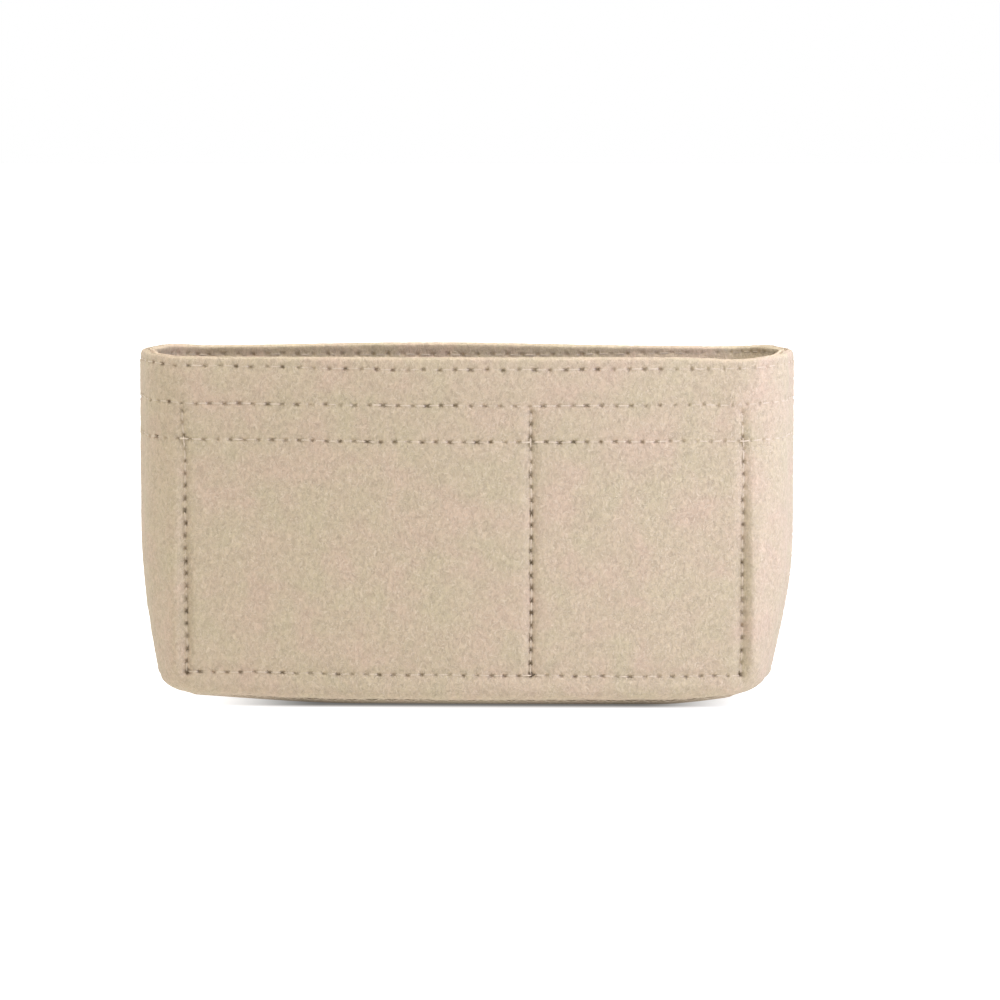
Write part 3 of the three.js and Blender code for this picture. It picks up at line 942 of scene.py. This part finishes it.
def makeBase():
    halfX, halfY, _ = baseRim(1.5, baseInset, 0) * (1, -1, 1)
    u, v = feltGrid((-halfX, halfX), (-halfY, halfY), base)

    def edgeAt(u, v):
        return basePlan((u / halfX + 1) / 2, (v / halfY + 1) / 2)

    def place(u, v, depth):
        plan, edge = edgeAt(u, v)
        lean = felt["baseSlant"] * (depth / felt["base"] - 0.5)
        plan = plan * (1 + lean[..., None] / (halfX, halfY))
        z = baseUnderside(edge) + felt["base"] - depth
        return np.concatenate([plan, np.maximum(z, base["clear"])[..., None]], -1)

    def reliefOf(share, seed):
        def relief(u, v):
            fall = rounding(edgeAt(u, v)[1], *base["edgeRound"])
            return share * grain(u, v + patternStart, seed) - fall
        return relief

    seed = base["seed"]
    x, y, _ = baseOutline(-3, outlineSpan - 3, base["steps"])[1].T
    area = abs(np.sum(x * np.roll(y, -1) - y * np.roll(x, -1))) / 2
    feltSheet("base_panel", "base", u, v, place, reliefOf(1, seed), reliefOf(base["underGrain"], seed + 5),
              seed + 9, "paleFloor", flat=(np.ptp(x), np.ptp(y)), held="laid", area=area * mm ** 2)


makeBase()
print("stage: base sewn in")


# Stitches: each one is its own length of three-ply thread, from needle hole to needle hole
stitch = {
    "steps": 11, "sides": 12, "plies": 3, "turnsPerStitch": 1.7,
    "radius": threadWidth / 2, "taper": 0.15, "lobe": 0.17,
    "sink": -1.5, "tuck": 0.5, "flatness": 8,
    "crossLift": 0.36, "crossLength": 1.3,
    "outStep": 0.5,  # to find which way is out of the felt
}


def liftAt(share, rise):
    return lerp(stitch["sink"], rise, 1 - np.abs(2 * share - 1) ** stitch["flatness"])


def stitchPaths(starts, ends, pointAt, rise, raiseAt=None):
    # starts and ends are felt places; pointAt turns (along, down, lift) into a point
    share = np.linspace(0, 1, stitch["steps"])[None]
    ahead = unit(ends - starts)
    starts, ends = starts + ahead * stitch["tuck"], ends - ahead * stitch["tuck"]
    along = lerp(starts[:, :1], ends[:, :1], share)
    down = lerp(starts[:, 1:], ends[:, 1:], share)
    lift = liftAt(share, rise) + np.zeros_like(along)
    if raiseAt is not None:
        lift = lift + raiseAt(along, down)
    path = pointAt(along, down, lift)
    return path, unit(pointAt(along, down, lift + stitch["outStep"]) - path)


def rowStitches(seam, pointAt, raiseAt=None):
    # the thread lies half buried in the felt, along the bottom of its trough
    rise = -seam["pull"]["depth"] - seam["pull"]["bury"]
    return stitchPaths(seam["needles"][:-1], seam["needles"][1:], pointAt, rise, raiseAt)


def makeStitches(seam, groups, half="front"):
    # Each stitch is a closed tube. The twisted plies show as lobes that wind along it.
    paths = turnedBack(np.concatenate([path for path, _ in groups]), half)
    outs = turnedBack(np.concatenate([out for _, out in groups]), half)
    count, steps = paths.shape[:2]
    ahead = unit(np.gradient(paths, axis=1))
    across = unit(np.cross(ahead, outs))
    lift = np.cross(across, ahead)
    share = np.linspace(0, 1, steps)[None, :, None]
    around = np.linspace(0, 2 * math.pi, stitch["sides"], endpoint=False)[None, None, :]
    twist = stitch["plies"] * (around - stitch["turnsPerStitch"] * 2 * math.pi * share)
    lobes = 1 + stitch["lobe"] * np.cos(twist + rng.uniform(0, 2 * math.pi, (count, 1, 1)))
    size = stitch["radius"] * (1 - stitch["taper"] * np.abs(2 * share - 1) ** 3) * lobes
    ring = np.cos(around)[..., None] * across[:, :, None] + np.sin(around)[..., None] * lift[:, :, None]
    points = (paths[:, :, None] + size[..., None] * ring).reshape(-1, 3)
    index = np.arange(size.size).reshape(size.shape)
    following = np.roll(index, -1, axis=2)
    quads = np.stack([index[:, :-1], following[:, :-1], following[:, 1:], index[:, 1:]], -1).reshape(-1, 4)
    caps = index[:, 0, ::-1].tolist() + index[:, -1].tolist()
    buildPiece(pieceName(seam, "Stitches"), seam + "_thread", "thread", points, quads.tolist() + caps,
               sewingThread)


def onShell(along, down, lift):
    return facePoint(along, down, -lift)


def onFacing(along, down, lift):
    return facePoint(along, down, facingInner + lift)


def onPanel(along, down, lift):
    return panelPoint(along, rimHeight - down, felt["pocket"] + lift)


def overLowerRow(along, down):
    row = rowPlan["lower_row"]
    gap = down - row["drop"] + climbAt(along, row)
    return stitch["crossLift"] * np.exp(-(gap / stitch["crossLength"]) ** 2)


def sewThreads(half):
    seams = halves[half]
    for row in rowPlan:
        for side, pointAt in (("outer", onShell), ("inner", onFacing)):
            makeStitches(f"{half}_{row}_{side}", [rowStitches(seams[row], pointAt)], half)
    for side, pointAt, raiseAt in (("outer", onShell, overLowerRow), ("inner", onPanel, None)):
        outline = [rowStitches(seams[name], pointAt, raiseAt) for name in ("left", "right")]
        outline.append(rowStitches(seams["bottom"], pointAt))
        divider = [rowStitches(seams["divider"], pointAt, raiseAt)]
        makeStitches(f"{half}_pocket_outline_{side}", outline, half)
        makeStitches(f"{half}_pocket_divider_{side}", divider, half)


for half in halves:
    sewThreads(half)
print("stage: stitch rows sewn")


# Zigzag stitches over the butt seams
def bridgePaths(points, outs):
    # stitches from each point to the next, sunk into the felt at both ends
    share = np.linspace(0, 1, stitch["steps"])[None, :, None]
    path = lerp(points[:-1, None], points[1:, None], share)
    out = unit(lerp(outs[:-1, None], outs[1:, None], share))
    return path + out * liftAt(share, zigzag["rise"]), out


def outAt(s, run, inset, inward):
    out = unit(layerPoint(s, run, inset - stitch["outStep"]) - layerPoint(s, run, inset))
    return -out if inward else out


def sideSeam(side, inner):
    run = zigzagRuns
    down = dropAt(run)
    inset = np.where(down < facingDrop, facingInner, felt["shell"]) if inner else np.zeros_like(run)
    gusset = cornerBelow(down)[1] - felt["seamGap"] / 2
    s = side * (3 - zigzag["reach"] / gusset)
    points, outs = layerPoint(s, run, inset), outAt(s, run, inset, inner)
    flip = np.where(np.arange(len(run)) % 2 == 0, 1, -1)[:, None] * (0, 1, 0) + (1, 0, 1)
    hand, face = ("right" if side > 0 else "left"), ("inner" if inner else "outer")
    makeStitches(f"{hand}_side_seam_{face}", [bridgePaths(points * flip, outs * flip)])


for side in (-1, 1):
    for inner in (False, True):
        sideSeam(side, inner)


def baseSeam(inner):
    s, _, length = baseOutline(-3, outlineSpan - 3, base["steps"])
    swings = 2 * round(length[-1] / zigzag["pitch"])
    s = np.interp(np.linspace(0, length[-1], swings + 1), length, s)
    onWall = np.arange(swings + 1) % 2 == 0
    run = np.full_like(s, 2 - zigzag["reach"] / footLength)
    back = (s > 3) & (s < 9)
    station = np.where(back, s - 6, np.where(s > 3, s - outlineSpan, s))
    turn = np.where(back[:, None], (-1, -1, 1), (1, 1, 1))
    inset = np.full_like(s, felt["shell"] if inner else 0.0)
    wall, wallOut = layerPoint(station, run, inset) * turn, outAt(station, run, inset, inner) * turn
    height = baseUnderside(np.full_like(s, zigzag["reach"])) + (felt["base"] if inner else 0)
    floorPoint = baseRim(s, baseInset + zigzag["reach"], 0)
    floorPoint[:, 2] = height
    floorOut = np.zeros_like(floorPoint) + (0, 0, 1 if inner else -1)
    points = np.where(onWall[:, None], wall, floorPoint)
    outs = np.where(onWall[:, None], wallOut, floorOut)
    makeStitches("base_seam_inner" if inner else "base_seam_outer", [bridgePaths(points, outs)])


for inner in (False, True):
    baseSeam(inner)
print("stage: seams closed")


# Floor, in metres. It glows evenly, except for a painted pool of light near the box and a painted contact
# shadow under the base
floorLook = {
    "size": 40.0, "colour": (0.3, 0.3, 0.3), "glow": 0.85, "paintedPoolGlow": 1.06, "pool": 0.3, "shaded": 0.14,
    # painted contact shadow: the floor glows less in this patch, where the base bears on it
    "touch": (0.047, 0.018, 0), "paintedShadowAt": (0.004, 0, 0),  # where the base bears on it
    "stretch": (0.22, 1, 1), "soften": 0.009,
}
floorMesh = bpy.data.meshes.new("paleFloor")
reach = floorLook["size"]
floorMesh.from_pydata([(-reach, -reach, 0), (reach, -reach, 0), (reach, reach, 0), (-reach, reach, 0)],
                      [], [(0, 1, 2, 3)])
floor = addObject("paleFloor", floorMesh)
floorFinish, floorTree, floorShader = newFinish("palePaper")
away = (newNode(floorTree, "TexCoord"), "Object")
for operation, value in (("SUBTRACT", floorLook["paintedShadowAt"]), ("ABSOLUTE", (0, 0, 0)),
                         ("SUBTRACT", floorLook["touch"]), ("MAXIMUM", (0, 0, 0)),
                         ("MULTIPLY", floorLook["stretch"]), ("LENGTH", (0, 0, 0))):
    step = newNode(floorTree, "VectorMath", {0: away}, {1: value}, operation=operation)
    away = (step, "Value" if operation == "LENGTH" else "Vector")
# painted pool of light that fades out from the box, and painted contact shadow inside the patch
floorPaintedPool = spreadNode(floorTree, away, 0, floorLook["pool"], floorLook["paintedPoolGlow"], floorLook["glow"])
floorGlowAndPaintedShadow = spreadNode(floorTree, away, 0, floorLook["soften"], floorLook["shaded"], 1)
feed(floorTree, floorGlowAndPaintedShadow, {"To Max": (floorPaintedPool, 0)}, {})
feed(floorTree, floorShader, {"Emission Strength": (floorGlowAndPaintedShadow, 0)},
     {"Base Color": (*floorLook["colour"], 1), "Roughness": 0.9, "Emission Color": (1, 1, 1, 1)})
floorMesh.materials.append(floorFinish)

# Camera and light
view = {"at": (37, -1175, 166.4), "pitch": 5.165, "heading": 1.31, "lens": 139.9}
cameraData = bpy.data.cameras.new("studioCamera")
cameraData.lens = view["lens"]
cameraData.sensor_width = 36
camera = addObject("studioCamera", cameraData)
camera.location = [place * mm for place in view["at"]]
camera.rotation_euler = (math.radians(90 - view["pitch"]), 0, math.radians(view["heading"]))
bpy.context.scene.camera = camera

lamps = {
    "keyLamp": {"at": (0.28, -0.17, 0.15), "size": 0.2, "power": 0.68, "colour": (0.84, 0.89, 1.25)},
    "frontLamp": {"at": (0.0, -1.3, 0.75), "size": 0.9, "power": 1.0, "colour": (1, 1, 1)},
    "sideLamp": {"at": (-0.60, 0.0, 0.25), "size": 0.4, "power": 0.12, "colour": (1, 0.98, 0.95)},
}
for name, lamp in lamps.items():
    lampData = bpy.data.lights.new(name, "AREA")
    lampData.size = lamp["size"]
    lampData.energy = lamp["power"]
    lampData.color = lamp["colour"]
    lampObject = addObject(name, lampData)
    lampObject.location = lamp["at"]
    lampObject.rotation_euler = (-lampObject.location).to_track_quat("-Z", "Y").to_euler()

# a white wall behind, dimmer above it, and a wide soft light overhead: heights, then strengths
sky = {"wall": (0.06, 0.22, 1.0, 0.26), "overhead": (0.70, 0.92, 0.0, 5.2)}
world = bpy.data.worlds.new("paleStudio")
world.use_nodes = True
skyTree = world.node_tree
skyPlace = newNode(skyTree, "TexCoord")
skyParts = newNode(skyTree, "SeparateXYZ", {0: (skyPlace, "Generated")})
skyBands = [spreadNode(skyTree, (skyParts, "Z"), *band) for band in sky.values()]
skyLight = mathNode(skyTree, "ADD", {entry: (band, 0) for entry, band in enumerate(skyBands)})
feed(skyTree, skyTree.nodes["Background"], {"Strength": (skyLight, 0)}, {"Color": (1, 1, 1, 1)})
bpy.context.scene.world = world
bpy.context.scene.view_settings.view_transform = "Standard"
